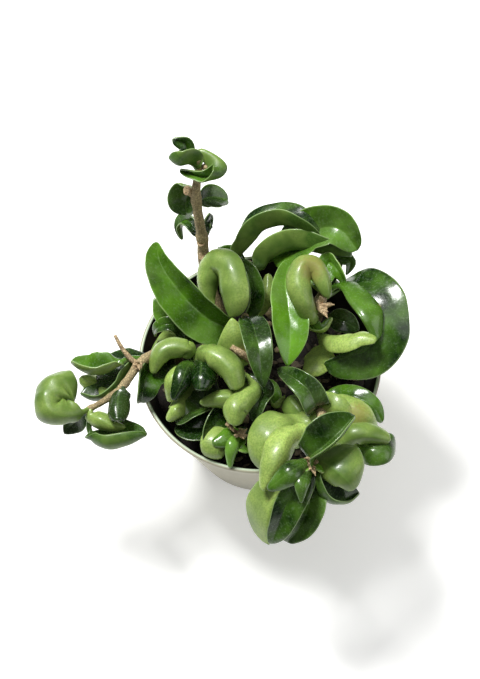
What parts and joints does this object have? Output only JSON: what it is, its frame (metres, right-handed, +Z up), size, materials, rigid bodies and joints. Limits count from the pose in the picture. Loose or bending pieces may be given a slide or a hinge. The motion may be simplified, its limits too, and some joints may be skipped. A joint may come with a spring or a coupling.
{
  "type": "potted hoya plant",
  "caption": "Compact hoya with folded, curled waxy leaves on woody stems, growing and trailing from a round nursery pot.",
  "frame": {"origin": "centre of the pot's base, on the surface that it stands on", "axes": "+Z up along the pot's axis, the front of the plant towards -Y, +X to the right seen from the front"},
  "size_m": [0.1617, 0.1548, 0.151],
  "materials": {
    "pot_plastic": "moulded polypropylene, satin, grey-taupe outside",
    "potting_mix": "dark bark and peat mix with pumice pebbles",
    "hoya_leaf": "waxy succulent leaf, glossy above and paler beneath, on tan woody stems"
  },
  "bodies": {
    "root": {"pot": "pot_plastic", "potting_mix": "potting_mix", "tall_shoot": "hoya_leaf", "left_back_shoot": "hoya_leaf", "back_shoot": "hoya_leaf", "right_shoot": "hoya_leaf", "centre_shoot": "hoya_leaf", "left_inner_shoot": "hoya_leaf", "front_inner_shoot": "hoya_leaf", "front_right_shoot": "hoya_leaf", "left_shoot": "hoya_leaf"}
  },
  "joints": []
}
